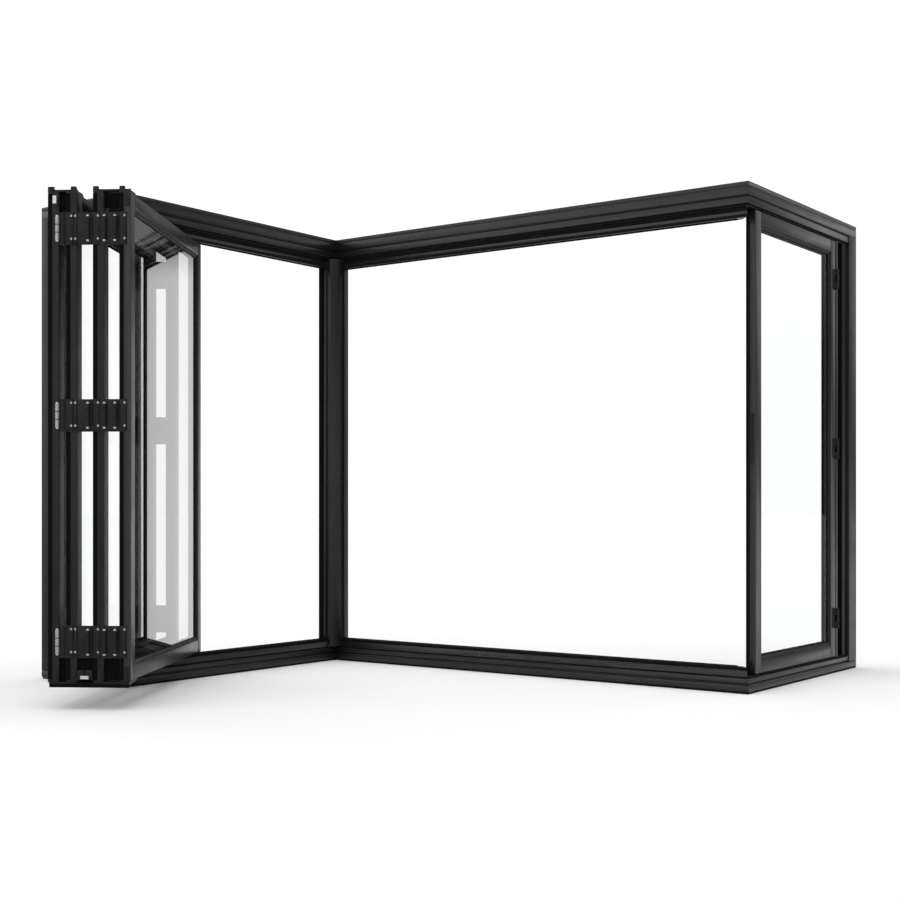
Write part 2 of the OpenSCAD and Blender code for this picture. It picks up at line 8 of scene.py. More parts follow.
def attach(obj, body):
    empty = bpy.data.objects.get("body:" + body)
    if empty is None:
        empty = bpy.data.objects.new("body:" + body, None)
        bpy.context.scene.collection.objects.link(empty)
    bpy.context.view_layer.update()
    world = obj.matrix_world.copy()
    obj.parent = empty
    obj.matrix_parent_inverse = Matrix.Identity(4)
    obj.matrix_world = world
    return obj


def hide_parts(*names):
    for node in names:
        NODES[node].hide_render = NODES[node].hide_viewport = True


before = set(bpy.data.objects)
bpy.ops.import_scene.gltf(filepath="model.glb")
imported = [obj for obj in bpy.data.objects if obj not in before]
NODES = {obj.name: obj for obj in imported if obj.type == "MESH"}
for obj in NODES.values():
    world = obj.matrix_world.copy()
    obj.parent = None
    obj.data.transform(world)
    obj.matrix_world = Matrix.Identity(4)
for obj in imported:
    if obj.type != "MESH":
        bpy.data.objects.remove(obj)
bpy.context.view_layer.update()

# Camera at the photograph's viewing angle: its place, its turn about Z, and the lens
CAMERA_PLACE = (5.396, -6.233, 0.8815)
CAMERA_TURN = math.radians(36.28)
CAMERA_LENS = 57.1
CAMERA_SHIFT_Y = 0.0619

# Studio: the floor, the soft sun, the white seen behind, and the light by its height and by its side
FLOOR_HALF, FLOOR_LEVEL = 120, -0.0005
SUN_DIRECTION = (-0.15, 0.10, -1.0)
SUN_STRENGTH = 1.12
SUN_SPREAD = 70
BACKDROP = 1.06
STUDIO_RIGHT = (0.6, 0.8, 0.0)
FRONT_STOPS = ((0.0, 1.75), (0.25, 1.90), (0.5, 1.25), (1.0, 0.5))
LEFT_STOPS = ((0.0, 1.04), (0.155, 1.00), (0.18, 0.25), (0.5, 0.6), (1.0, 0.5))
RIGHT_STOPS = ((0.0, 0.10), (0.10, 0.15), (0.20, 1.30), (0.4, 0.9), (1.0, 0.5))
FRONT_TO_LEFT = ((0.30, 0.0), (0.55, 1.0))
LEFT_TO_RIGHT = ((0.84, 0.0), (0.93, 1.0))

# Axes of the folded leaves, of the closed door and of the frame, as in the CAD
DOOR_FACE, DOOR_EDGE = 2.5695, 0.0575
STACK_AXES = Matrix.Translation((0.660, -2.100, 0)) @ Matrix.Rotation(math.radians(122.4), 4, "Z")
DOOR_AXES = Matrix.Translation((DOOR_FACE, DOOR_EDGE, 0)) @ Matrix.Rotation(math.radians(90), 4, "Z")
FRAME_AXES = Matrix.Identity(4)

# Frame: lengths of runs A and B, half depth, track levels, jambs, door stop, and the post's ends and rib
RUN_A, RUN_B = 1.560, 2.540
HALF_DEPTH = 0.0375
TRACK_LOW, TRACK_HIGH = 0.1240, 2.2340
RUN_C_END, RIGHT_JAMB_FACE = 1.3465, 1.2425
LEFT_JAMB_FACE = -0.4640
CHANNEL_BACK = 1.186
STOP_FACE = 2.5125
POST_END_A, POST_END_B = -0.0855, 0.0675
POST_RIB = 0.015

# Leaves and door: places across the stack, widths, thickness, levels, beads and rebates
LEAF_Y = {"leaf_1": 0.314, "leaf_2": 0.234, "leaf_3": 0.116, "leaf_4": 0.0}
LEAF_WIDTH = 1.250
LEAF_T = 0.052
LEAF_LOW, LEAF_HIGH = 0.130, 2.228
DOOR_WIDTH = 1.0045
DOOR_LOW, DOOR_HIGH = 0.086, 2.280
BEAD_WIDTH = 0.017
REBATE_WIDTH, REBATE_DEPTH = 0.022, 0.008

# Every glazed leaf: name, width, lowest and highest level, place across its axes, axes and body
LEAVES = [
    (name, LEAF_WIDTH, LEAF_LOW, LEAF_HIGH, offset, STACK_AXES, "frame")
    for name, offset in LEAF_Y.items()
]
LEAVES.append(("door", DOOR_WIDTH, DOOR_LOW, DOOR_HIGH, 0.0, DOOR_AXES, "door"))

# The leaf in front of the stack, and the two in its middle, which are glazed with one sheet
FRONT_LEAF = "leaf_4"
MIDDLE_LEAVES = ("leaf_2", "leaf_3")

# Folding hinges: levels, rows of screws, plate thickness, and their barrels' place and half length
HINGE_LEVELS = (0.295, 1.270, 2.075)
HINGE_SCREW_ROWS = (-0.044, 0.055)
HINGE_PLATE = 0.004
BARREL_OUT = 0.0095
BARREL_HALF = 0.050
PIN_HEAD = 0.005

# Door hinges: their axis, height, levels and plates
DOOR_AXIS = (2.5795, 1.065)
DOOR_HINGE_LEVELS = (0.286, 1.183, 2.080)
DOOR_HINGE_HEIGHT = 0.100
DOOR_PLATE = 0.003

# Glass: what an outer face reflects seen square on, what a grazing view adds on the front leaf, and tints
GLASS_SHINE = 0.05
GLASS_GRAZING = 2.4
GLASS_TINTS = ((0.982, 0.988, 0.986), (0.988, 0.994, 0.992))

# Sealed units: width of the sash around them, the gap at their edges, their two faces, and their chamfer
SASH_WIDTH, PANE_EDGE = 0.062, 0.004
UNIT_FRONT, UNIT_BACK = 0.013, 0.039
UNIT_CHAMFER = 0.0015

# Small pieces
EDGE_ROUND = 0.0009
GASKET_WIDTH = 0.004
GASKET_HEIGHT = 0.0022
# Thickness of the black strips of painted shade
SHADE_STRIP_THICK = 0.0008

# CAD nodes in the darker, less glossy copy of the frame coat, which paints shade on the jambs and the three
# inner leaves, and words in the names of the fittings
SHADED_NODES = ("left_jamb", "right_jamb", "leaf_1", "leaf_2", "leaf_3")
FITTING_WORDS = ("hinge", "catch", "carriage", "guide", "roller", "lock")

# Painted shade: black strips laid where the head's and sill's steps, grooves, necks and flanges throw
# shadow lines; distance of a face from its run's centre line, thickness, and the strip's two levels
LONG_SHADE_ROWS = (
    (0.0350, SHADE_STRIP_THICK, 2.3290, 2.3342), (0.0255, SHADE_STRIP_THICK, 2.2890, 2.2972),
    (0.0350, SHADE_STRIP_THICK, 0.0458, 0.0500), (0.0255, SHADE_STRIP_THICK, 0.0728, 0.0792),
    (0.0315, 0.0040, 0.0004, 0.0098),
)
TRACK_SHADE_ROWS = (
    (0.0170, SHADE_STRIP_THICK, 2.2650, 2.2872), (0.0240, SHADE_STRIP_THICK, 2.2360, 2.2490),
    (0.0170, SHADE_STRIP_THICK, 0.1088, 0.1232),
)


def make_camera():
    data = bpy.data.cameras.new("camera")
    data.sensor_width = 36
    data.lens = CAMERA_LENS
    data.shift_y = CAMERA_SHIFT_Y
    camera = bpy.data.objects.new("camera", data)
    camera.location = CAMERA_PLACE
    camera.rotation_euler = (math.radians(90), 0, CAMERA_TURN)
    bpy.context.scene.collection.objects.link(camera)
    bpy.context.scene.camera = camera


def make_sun():
    """One wide soft light from above, which keeps the floor evenly white."""
    data = bpy.data.lights.new("sky_panel", "SUN")
    data.energy = SUN_STRENGTH
    data.angle = math.radians(SUN_SPREAD)
    sun = bpy.data.objects.new("sky_panel", data)
    sun.rotation_euler = Vector(SUN_DIRECTION).to_track_quat("-Z", "Y").to_euler()
    bpy.context.scene.collection.objects.link(sun)


def make_world():
    """White for the camera; for all else the light of the front, the left rear and the right rear."""
    world = bpy.data.worlds.new("studio")
    world.use_nodes = True
    tree = world.node_tree
    seen = tree.nodes["Background"]
    seen.inputs["Color"].default_value = (1, 1, 1, 1)
    seen.inputs["Strength"].default_value = BACKDROP
    lit = tree.nodes.new("ShaderNodeBackground")
    place = tree.nodes.new("ShaderNodeTexCoord")

    def ramp(source, stops):
        node = tree.nodes.new("ShaderNodeValToRGB")
        elements = node.color_ramp.elements
        elements[0].position, elements[0].color = stops[0][0], (*[stops[0][1]] * 3, 1)
        elements[1].position, elements[1].color = stops[-1][0], (*[stops[-1][1]] * 3, 1)
        for position, value in stops[1:-1]:
            elements.new(position).color = (value, value, value, 1)
        tree.links.new(source, node.inputs["Fac"])
        return node.outputs["Color"]

    split = tree.nodes.new("ShaderNodeSeparateXYZ")
    tree.links.new(place.outputs["Generated"], split.inputs["Vector"])
    towards = tree.nodes.new("ShaderNodeVectorMath")
    towards.operation = "DOT_PRODUCT"
    towards.inputs[1].default_value = STUDIO_RIGHT
    tree.links.new(place.outputs["Generated"], towards.inputs[0])
    half = tree.nodes.new("ShaderNodeMath")
    half.operation = "MULTIPLY_ADD"
    half.inputs[1].default_value = 0.5
    half.inputs[2].default_value = 0.5
    tree.links.new(towards.outputs["Value"], half.inputs[0])
    colour = ramp(split.outputs["Z"], FRONT_STOPS)
    for turn, stops in ((FRONT_TO_LEFT, LEFT_STOPS), (LEFT_TO_RIGHT, RIGHT_STOPS)):
        blend = tree.nodes.new("ShaderNodeMixRGB")
        tree.links.new(ramp(half.outputs["Value"], turn), blend.inputs["Fac"])
        tree.links.new(colour, blend.inputs["Color1"])
        tree.links.new(ramp(split.outputs["Z"], stops), blend.inputs["Color2"])
        colour = blend.outputs["Color"]
    tree.links.new(colour, lit.inputs["Color"])
    mix = tree.nodes.new("ShaderNodeMixShader")
    path = tree.nodes.new("ShaderNodeLightPath")
    tree.links.new(path.outputs["Is Camera Ray"], mix.inputs["Fac"])
    tree.links.new(lit.outputs["Background"], mix.inputs[1])
    tree.links.new(seen.outputs["Background"], mix.inputs[2])
    tree.links.new(mix.outputs["Shader"], tree.nodes["World Output"].inputs["Surface"])
    bpy.context.scene.world = world


def make_studio():
    bpy.context.scene.view_settings.view_transform = "Standard"
    make_world()
    make_sun()
    h = FLOOR_HALF
    mesh = bpy.data.meshes.new("floor")
    mesh.from_pydata([(-h, -h, 0), (h, -h, 0), (h, h, 0), (-h, h, 0)], [], [(0, 1, 2, 3)])
    floor = bpy.data.objects.new("floor", mesh)
    floor.location.z = FLOOR_LEVEL
    bpy.context.scene.collection.objects.link(floor)
    floor.data.materials.append(floor_material())


class Nodes:
    """Small helper for building one material's node tree."""

    def __init__(self, name):
        self.material = bpy.data.materials.new(name)
        self.material.use_nodes = True
        self.tree = self.material.node_tree
        self.shader = self.tree.nodes["Principled BSDF"]

    def add(self, kind):
        return self.tree.nodes.new(kind)

    def link(self, source, target):
        self.tree.links.new(source, target)

    def noise(self, scale, detail, roughness=0.5, stretch=(1, 1, 1)):
        place = self.add("ShaderNodeTexCoord")
        mapping = self.add("ShaderNodeMapping")
        mapping.inputs["Scale"].default_value = stretch
        self.link(place.outputs["Object"], mapping.inputs["Vector"])
        node = self.add("ShaderNodeTexNoise")
        node.inputs["Scale"].default_value = scale
        node.inputs["Detail"].default_value = detail
        node.inputs["Roughness"].default_value = roughness
        self.link(mapping.outputs["Vector"], node.inputs["Vector"])
        return node.outputs["Fac"]

    def ramp(self, source, low, high):
        """Maps a value between two points of (position, colour)."""
        node = self.add("ShaderNodeValToRGB")
        for element, (position, colour) in zip(node.color_ramp.elements, (low, high)):
            element.position = position
            element.color = (*colour, 1)
        self.link(source, node.inputs["Fac"])
        return node.outputs["Color"]

    def bump(self, source, strength, distance, before=None):
        node = self.add("ShaderNodeBump")
        node.inputs["Strength"].default_value = strength
        node.inputs["Distance"].default_value = distance
        self.link(source, node.inputs["Height"])
        if before is not None:
            self.link(before, node.inputs["Normal"])
        return node.outputs["Normal"]


def grey(value):
    return (value, value, value * 1.04)


def floor_material():
    made = Nodes("floor")
    tone = made.ramp(made.noise(0.8, 2), (0.3, (0.93, 0.93, 0.93)), (0.7, (0.94, 0.94, 0.94)))
    made.link(tone, made.shader.inputs["Base Color"])
    made.shader.inputs["Roughness"].default_value = 0.9
    made.shader.inputs["Specular IOR Level"].default_value = 0.1
    return made.material


def powder_coat(name, dark, light, roughness, shine):
    """Satin powder coat: fine orange peel, faint cloudiness, and uneven gloss."""
    made = Nodes(name)
    cloud = made.ramp(made.noise(3.0, 4), (0.35, grey(dark)), (0.7, grey(light)))
    made.link(cloud, made.shader.inputs["Base Color"])
    low, high = grey(roughness - 0.04), grey(roughness + 0.05)
    made.link(made.ramp(made.noise(7.0, 5), (0.3, low), (0.7, high)), made.shader.inputs["Roughness"])
    peel = made.bump(made.noise(900.0, 2), 0.12, 0.0002)
    grain = made.bump(made.noise(2600.0, 3), 0.10, 0.0001, peel)
    made.link(grain, made.shader.inputs["Normal"])
    made.shader.inputs["Specular IOR Level"].default_value = shine
    return made.material


def rubber(name, tone, roughness):
    made = Nodes(name)
    mottle = made.ramp(made.noise(40.0, 3), (0.3, grey(tone)), (0.7, grey(tone * 1.8)))
    made.link(mottle, made.shader.inputs["Base Color"])
    made.link(made.bump(made.noise(1500.0, 2), 0.2, 0.0002), made.shader.inputs["Normal"])
    made.shader.inputs["Roughness"].default_value = roughness
    made.shader.inputs["Specular IOR Level"].default_value = 0.1
    return made.material


def steel(name, dark, light, roughness):
    """Brushed steel of the pins, sleeves and screws."""
    made = Nodes(name)
    lines = made.noise(300.0, 4, 0.6, (1, 1, 0.05))
    made.link(made.ramp(lines, (0.3, grey(dark)), (0.7, grey(light))), made.shader.inputs["Base Color"])
    low, high = grey(roughness - 0.05), grey(roughness + 0.07)
    made.link(made.ramp(lines, (0.3, low), (0.7, high)), made.shader.inputs["Roughness"])
    made.link(made.bump(lines, 0.15, 0.0001), made.shader.inputs["Normal"])
    made.shader.inputs["Metallic"].default_value = 1.0
    return made.material


def glass(name, shine, grazing):
    """Float glass: each outer face reflects a share of the studio, which grows towards a grazing view."""
    made = Nodes(name)
    tree = made.tree
    tree.nodes.remove(made.shader)
    clear = made.add("ShaderNodeBsdfTransparent")
    tint = made.ramp(made.noise(1.2, 2), (0.3, GLASS_TINTS[0]), (0.7, GLASS_TINTS[1]))
    made.link(tint, clear.inputs["Color"])
    gloss = made.add("ShaderNodeBsdfGlossy")
    gloss.inputs["Roughness"].default_value = 0.015

    def maths(operation, *values):
        node = made.add("ShaderNodeMath")
        node.operation = operation
        for socket, value in zip(node.inputs, values):
            if isinstance(value, float):
                socket.default_value = value
            else:
                made.link(value, socket)
        return node.outputs["Value"]

    facing = made.add("ShaderNodeLayerWeight")
    facing.inputs["Blend"].default_value = 0.5
    side = made.add("ShaderNodeNewGeometry")
    outer = maths("SUBTRACT", 1.0, side.outputs["Backfacing"])
    share = maths("MULTIPLY_ADD", maths("POWER", facing.outputs["Facing"], 5.0), grazing, shine)
    mix = made.add("ShaderNodeMixShader")
    made.link(maths("MULTIPLY", share, outer), mix.inputs["Fac"])
    made.link(clear.outputs["BSDF"], mix.inputs[1])
    made.link(gloss.outputs["BSDF"], mix.inputs[2])
    made.link(mix.outputs["Shader"], tree.nodes["Material Output"].inputs["Surface"])
    return made.material


def soften_edges(piece, width=EDGE_ROUND):
    """Small rounds on a CAD piece's edges, which catch the light as the real ones do."""
    weld = piece.modifiers.new("weld", "WELD")
    weld.merge_threshold = 0.00002
    bevel = piece.modifiers.new("edges", "BEVEL")
    bevel.width = width
    bevel.segments = 2
    bevel.limit_method = "ANGLE"
    bevel.angle_limit = math.radians(40)
    bevel.use_clamp_overlap = True
    bevel.harden_normals = True
    piece.data.shade_smooth()


def dress_cad():
    """Gives every CAD node its material, by its name."""
    for name, piece in NODES.items():
        if name.endswith("glass"):
            material = MATERIALS["glass"]
        elif name.endswith("beads"):
            material = MATERIALS["bead_coat"]
        elif any(word in name for word in FITTING_WORDS):
            material = MATERIALS["fitting_coat"]
        # Painted shade: the jambs and the inner leaves take a darker, less glossy copy of the frame coat
        elif name.startswith(SHADED_NODES):
            material = MATERIALS["shaded_coat"]
        else:
            material = MATERIALS["frame_coat"]
        piece.data.materials.clear()
        piece.data.materials.append(material)
        if not name.endswith("glass"):
            soften_edges(piece)


def new_piece(name, make, axes, material, body):
    """A piece built by make(bm) in given axes, riding on a body."""
    bm = bmesh.new()
    make(bm)
    bmesh.ops.transform(bm, matrix=axes, verts=bm.verts)
    bmesh.ops.recalc_face_normals(bm, faces=bm.faces)
    mesh = bpy.data.meshes.new(name)
    bm.to_mesh(mesh)
    bm.free()
    piece = bpy.data.objects.new(name, mesh)
    bpy.context.scene.collection.objects.link(piece)
    mesh.materials.append(MATERIALS[material])
    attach(piece, body)
    return piece


def join_loops(bm, loops, closed):
    """Faces between rings of vertices; closed also joins the last ring to the first."""
    pairs = list(zip(loops, loops[1:]))
    if closed:
        pairs.append((loops[-1], loops[0]))
    for a, b in pairs:
        for i in range(len(a)):
            j = (i + 1) % len(a)
            bm.faces.new((a[i], a[j], b[j], b[i]))


def add_frame(bm, low, high, section):
    """Mitred rectangular frame in the XZ plane, from (inset, y) points of its section."""
    loops = []
    for inset, y in section:
        x0, x1 = low[0] + inset, high[0] - inset
        z0, z1 = low[1] + inset, high[1] - inset
        loops.append([bm.verts.new((x, y, z)) for x, z in ((x0, z0), (x1, z0), (x1, z1), (x0, z1))])
    join_loops(bm, loops, True)


def add_bar(bm, section, start, end, axis):
    """Bar of a section given in the other two axes, from start to end along axis."""
    loops = []
    for t in (start, end):
        ring = []
        for a, b in section:
            point = {"x": (t, a, b), "y": (a, t, b), "z": (a, b, t)}[axis]
            ring.append(bm.verts.new(point))
        loops.append(ring)
    join_loops(bm, loops, False)
    bm.faces.new(loops[0])
    bm.faces.new(loops[1])


def add_turned(bm, place, out, profile, sides=16):
    """Turned form along out, from (radius, height) points, closed at both ends."""
    turn = out.to_track_quat("Z", "Y").to_matrix()
    loops = []
    for radius, height in profile:
        ring = []
        for k in range(sides):
            a = 2 * math.pi * k / sides
            spot = Vector((radius * math.cos(a), radius * math.sin(a), height))
            ring.append(bm.verts.new(place + turn @ spot))
        loops.append(ring)
    join_loops(bm, loops, False)
    bm.faces.new(loops[0])
    bm.faces.new(loops[-1])


def add_screw(bm, place, out, radius=0.0042):
    """Countersunk screw head with a sunk drive."""
    h = 0.0012
    profile = [
        (radius, 0.0), (radius, h * 0.5), (radius * 0.8, h), (radius * 0.42, h),
        (radius * 0.36, h * 0.3), (radius * 0.1, h * 0.3),
    ]
    add_turned(bm, place, out, profile)


def add_dome(bm, place, out, radius, height):
    """Rounded cap."""
    share = [(1.0, 0.0), (1.0, 0.4), (0.92, 0.72), (0.72, 0.9), (0.4, 0.98), (0.1, 1.0)]
    add_turned(bm, place, out, [(radius * r, height * h) for r, h in share], 20)


def add_sealed_unit(name, width, low_z, high_z, offset, axes, body):
    """A leaf's double glazing as one body or one sheet: a ray passes no more than eight glass faces."""
    inset = SASH_WIDTH + PANE_EDGE
    x0, x1 = inset, width - inset
    z0, z1 = low_z + inset, high_z - inset
    c = UNIT_CHAMFER
    y0, y1 = offset + UNIT_FRONT, offset + UNIT_BACK

    def make(bm):
        if name in MIDDLE_LEAVES:
            y = (y0 + y1) / 2
            bm.faces.new([bm.verts.new((x, y, z)) for x, z in ((x0, z0), (x1, z0), (x1, z1), (x0, z1))])
            return
        rings = []
        for inset_in, y in ((c, y0), (0, y0 + c), (0, y1 - c), (c, y1)):
            a, b, low, high = x0 + inset_in, x1 - inset_in, z0 + inset_in, z1 - inset_in
            rings.append([bm.verts.new((x, y, z)) for x, z in ((a, low), (b, low), (b, high), (a, high))])
        join_loops(bm, rings, False)
        bm.faces.new(rings[0])
        bm.faces.new(rings[-1])

    material = "front_glass" if name == FRONT_LEAF else "glass"
    unit = new_piece(name + "_sealed_unit", make, axes, material, body)
    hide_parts(name + "_glass")


def add_gaskets(name, width, low_z, high_z, offset, axes, body):
    """Rubber lines where the beads meet the panes, on both faces of a leaf."""
    inset = SASH_WIDTH + BEAD_WIDTH
    low, high = (inset, low_z + inset), (width - inset, high_z - inset)
    g, h = GASKET_WIDTH, GASKET_HEIGHT
    front, back = offset + UNIT_FRONT, offset + UNIT_BACK

    def make(bm):
        for y, out in ((front, -1), (back, 1)):
            section = [(0, y), (0, y + out * h * 0.5), (g * 0.25, y + out * h),
                       (g * 0.75, y + out * h * 0.9), (g, y)]
            add_frame(bm, low, high, section)

    new_piece(name + "_gaskets", make, axes, "rubber", body)


def add_edge_seals(name, width, low_z, high_z, offset, axes, body):
    """Ribbed rubber seals along the rebates of a leaf's upright edges."""
    y0, y1 = offset + LEAF_T - REBATE_WIDTH + 0.001, offset + LEAF_T - 0.001
    step = (y1 - y0) / 4

    def make(bm):
        for mirror in (False, True):
            points = [(REBATE_DEPTH, y0), (0.0035, y0), (0.0020, y0 + step * 0.5), (0.0050, y0 + step),
                      (0.0035, y0 + step * 1.5), (0.0050, y0 + step * 2), (0.0020, y0 + step * 2.6),
                      (0.0050, y0 + step * 3.2), (0.0040, y1), (REBATE_DEPTH, y1)]
            if mirror:
                points = [(width - x, y) for x, y in points]
            add_bar(bm, points, low_z + 0.001, high_z - 0.001, "z")

    new_piece(name + "_edge_seals", make, axes, "rubber", body)


def add_fold_fittings():
    """Screws, pin caps and barrel sleeves of the folding hinges."""
    near = Vector((-1, 0, 0))
    far = Vector((1, 0, 0))
    up = Vector((0, 0, 1))
    plate_screws = []
    barrels = []
    middle = LEAF_T - 0.026
    low_2 = LEAF_Y["leaf_2"] + 0.008
    for z in HINGE_LEVELS:
        for dz in HINGE_SCREW_ROWS:
            middles = [LEAF_Y[leaf] + middle for leaf in ("leaf_2", "leaf_3", "leaf_4")]
            for y in [low_2] + middles:
                plate_screws.append((Vector((-HINGE_PLATE, y, z + dz)), near))
            for y in (low_2, LEAF_Y["leaf_3"] + middle):
                plate_screws.append((Vector((LEAF_WIDTH + HINGE_PLATE, y, z + dz)), far))
        for y in (LEAF_T + 0.014, LEAF_Y["leaf_3"] - 0.004, LEAF_Y["leaf_3"] + LEAF_T + 0.0165,
                  LEAF_Y["leaf_1"] + 0.004):
            barrels.append(Vector((-BARREL_OUT, y, z)))
        barrels.append(Vector((LEAF_WIDTH + BARREL_OUT, LEAF_Y["leaf_2"] - 0.033, z)))

    def screws(bm):
        for place, out in plate_screws:
            add_screw(bm, place, out, 0.0052)

    def caps(bm):
        rim = [(0.0075, 0), (0.0082, 0.001), (0.0082, 0.0035), (0.0072, 0.0045)]
        for place in barrels:
            for side in (-1, 1):
                base = place + up * side * (BARREL_HALF + PIN_HEAD - 0.001)
                add_dome(bm, base, up * side, 0.0066, 0.0045)
                collar = place + up * side * (BARREL_HALF - 0.0005)
                add_turned(bm, collar, up * side, rim, 20)

    def sleeves(bm):
        for place in barrels:
            if place.y > LEAF_Y["leaf_1"] - 0.001:
                for k in (-1, 0, 1):
                    base = place + up * (k * 0.0343 - 0.0155)
                    profile = [(0.0090, 0), (0.0095, 0.001), (0.0095, 0.030), (0.0090, 0.031)]
                    add_turned(bm, base, up, profile, 24)

    new_piece("hinge_screws", screws, STACK_AXES, "dark_steel", "frame")
    new_piece("hinge_pin_caps", caps, STACK_AXES, "bright_steel", "frame")
    new_piece("pivot_sleeves", sleeves, STACK_AXES, "dark_steel", "frame")


def add_bracket_fittings():
    """Bracket screws, axle caps, the foot catch's strike, the top bolt's keeper and the carriages' lugs."""
    near = Vector((-1, 0, 0))
    screw_places = []
    for y in LEAF_Y.values():
        for z in (LEAF_LOW + 0.018, LEAF_LOW + 0.044, LEAF_HIGH - 0.018, LEAF_HIGH - 0.044):
            screw_places.append(Vector((-0.003, y + 0.015, z)))

    def screws(bm):
        for place in screw_places:
            add_screw(bm, place, near, 0.0038)

    def axles(bm):
        wheel_x, wheel_in, wheel_out = 0.048, 0.014, 0.016
        for first, last in (("leaf_4", "leaf_3"), ("leaf_2", "leaf_1")):
            start, end = LEAF_Y[first] + wheel_in, LEAF_Y[last] + LEAF_T - wheel_in
            for z in (LEAF_LOW - wheel_out, LEAF_HIGH + wheel_out):
                for y, out in ((start, -1), (end, 1)):
                    add_dome(bm, Vector((wheel_x, y, z)), Vector((0, out, 0)), 0.004, 0.003)

    def plate(bm, face, thick, y0, y1, z0, z1):
        c = 0.0012
        section = [(face, z0), (face - thick + c * 0.5, z0), (face - thick, z0 + c), (face - thick, z1 - c),
                   (face - thick + c * 0.5, z1), (face, z1)]
        add_bar(bm, section, y0, y1, "y")

    def strike(bm):
        plate(bm, -0.0035, 0.0035, 0.1830, 0.2190, LEAF_LOW + 0.0045, LEAF_LOW + 0.0190)
        for y in (0.1900, 0.2120):
            add_screw(bm, Vector((-0.0069, y, LEAF_LOW + 0.0115)), near, 0.0030)

    def keeper(bm):
        plate(bm, -0.0025, 0.0045, 0.3245, 0.3405, LEAF_HIGH - 0.0440, LEAF_HIGH - 0.0100)
        add_screw(bm, Vector((-0.0069, 0.3325, LEAF_HIGH - 0.0270)), near, 0.0040)

    def lugs(bm):
        c = 0.002
        z0, z1 = LEAF_HIGH + 0.007, LEAF_HIGH + 0.029
        for y0, y1 in ((0.0250, 0.0485), (0.1400, 0.1645), (0.2375, 0.2620), (0.3350, 0.3625)):
            section = [(y0, z0), (y1, z0), (y1, z1 - c), (y1 - c, z1), (y0 + c, z1), (y0, z1 - c)]
            add_bar(bm, section, -0.003, 0.006, "x")

    new_piece("bracket_screws", screws, STACK_AXES, "fitting_coat", "frame")
    new_piece("wheel_axles", axles, STACK_AXES, "dark_steel", "frame")
    new_piece("foot_catch_strike", strike, STACK_AXES, "bright_steel", "frame")
    new_piece("top_bolt_keeper", keeper, STACK_AXES, "bright_steel", "frame")
    new_piece("carriage_lugs", lugs, STACK_AXES, "fitting_coat", "frame")


def add_door_fittings():
    """Screws of the door hinges and the lock, pin caps and the lock's cylinder."""
    out = Vector((1, 0, 0))
    up = Vector((0, 0, 1))

    def plate_screws(shift, heights):
        def make(bm):
            for z in DOOR_HINGE_LEVELS:
                for dz in heights:
                    add_screw(bm, Vector((DOOR_FACE + DOOR_PLATE, DOOR_AXIS[1] + shift, z + dz)), out)
        return make

    def caps(bm):
        for z in DOOR_HINGE_LEVELS:
            for side in (-1, 1):
                base = Vector((DOOR_AXIS[0], DOOR_AXIS[1], z + side * DOOR_HINGE_HEIGHT / 2))
                add_dome(bm, base, up * side, 0.0088, 0.004)

    def lock(bm):
        face = Vector((DOOR_FACE - 0.019, DOOR_EDGE - 0.003, 0))
        front = Vector((0, -1, 0))
        for z in (1.092, 1.308):
            add_screw(bm, face + up * z, front, 0.0035)
        ring = [(0.0085, 0), (0.0085, 0.0015), (0.0070, 0.0022), (0.0040, 0.0022),
                (0.0036, 0.0006), (0.0005, 0.0006)]
        add_turned(bm, face + up * 1.200, front, ring, 20)

    three, two = (-0.034, 0.0, 0.034), (-0.034, 0.034)
    on_door, on_jamb = plate_screws(-0.024, three), plate_screws(0.018, two)
    new_piece("door_hinge_screws", on_door, FRAME_AXES, "fitting_coat", "door")
    new_piece("jamb_hinge_screws", on_jamb, FRAME_AXES, "fitting_coat", "frame")
    new_piece("door_pin_caps", caps, FRAME_AXES, "fitting_coat", "door")
    new_piece("lock_screws", lock, FRAME_AXES, "fitting_coat", "door")


def add_frame_seals():
    """Seals in the post's channels, in the right jamb's channel, and behind the door."""
    low, high = 0.081, 2.287

    def post(bm):
        profile = [(-0.0005, 0.0075), (-0.0005, 0.0020), (-0.0040, -0.0005), (-0.0100, -0.0005),
                   (-0.0135, 0.0020), (-0.0135, 0.0075)]
        channel = 0.008
        add_bar(bm, [(across - channel, POST_END_A + depth) for across, depth in profile], low, high, "z")
        add_bar(bm, [(POST_END_B - depth, channel - across) for across, depth in profile], low, high, "z")

    def jamb(bm):
        start = RUN_B - 0.007
        profile = [(0, 0), (0, 0.006), (0.005, 0.009), (0.010, 0.006), (0.015, 0.009), (0.020, 0.006),
                   (0.025, 0.008), (0.0275, 0.004), (0.0275, 0)]
        add_bar(bm, [(start + across, CHANNEL_BACK - depth) for across, depth in profile], low, high, "z")

    def stop(bm):
        x0 = STOP_FACE
        y1, z0, z1 = DOOR_EDGE + DOOR_WIDTH - 0.004, DOOR_LOW + 0.008, DOOR_HIGH - 0.008
        section = [(x0, 0.0), (x0 + 0.003, 0.001), (x0 + 0.0042, 0.004), (x0 + 0.003, 0.007), (x0, 0.008)]
        add_bar(bm, [(x, z1 - dz) for x, dz in section], DOOR_EDGE + 0.0025, y1, "y")
        add_bar(bm, [(x, z0 + dz) for x, dz in section], DOOR_EDGE + 0.0025, y1, "y")
        add_bar(bm, [(x, y1 - dy) for x, dy in section], z0, z1, "z")

    new_piece("post_seals", post, FRAME_AXES, "rubber", "frame")
    new_piece("jamb_channel_seal", jamb, FRAME_AXES, "rubber", "frame")
    new_piece("door_stop_seal", stop, FRAME_AXES, "rubber", "frame")


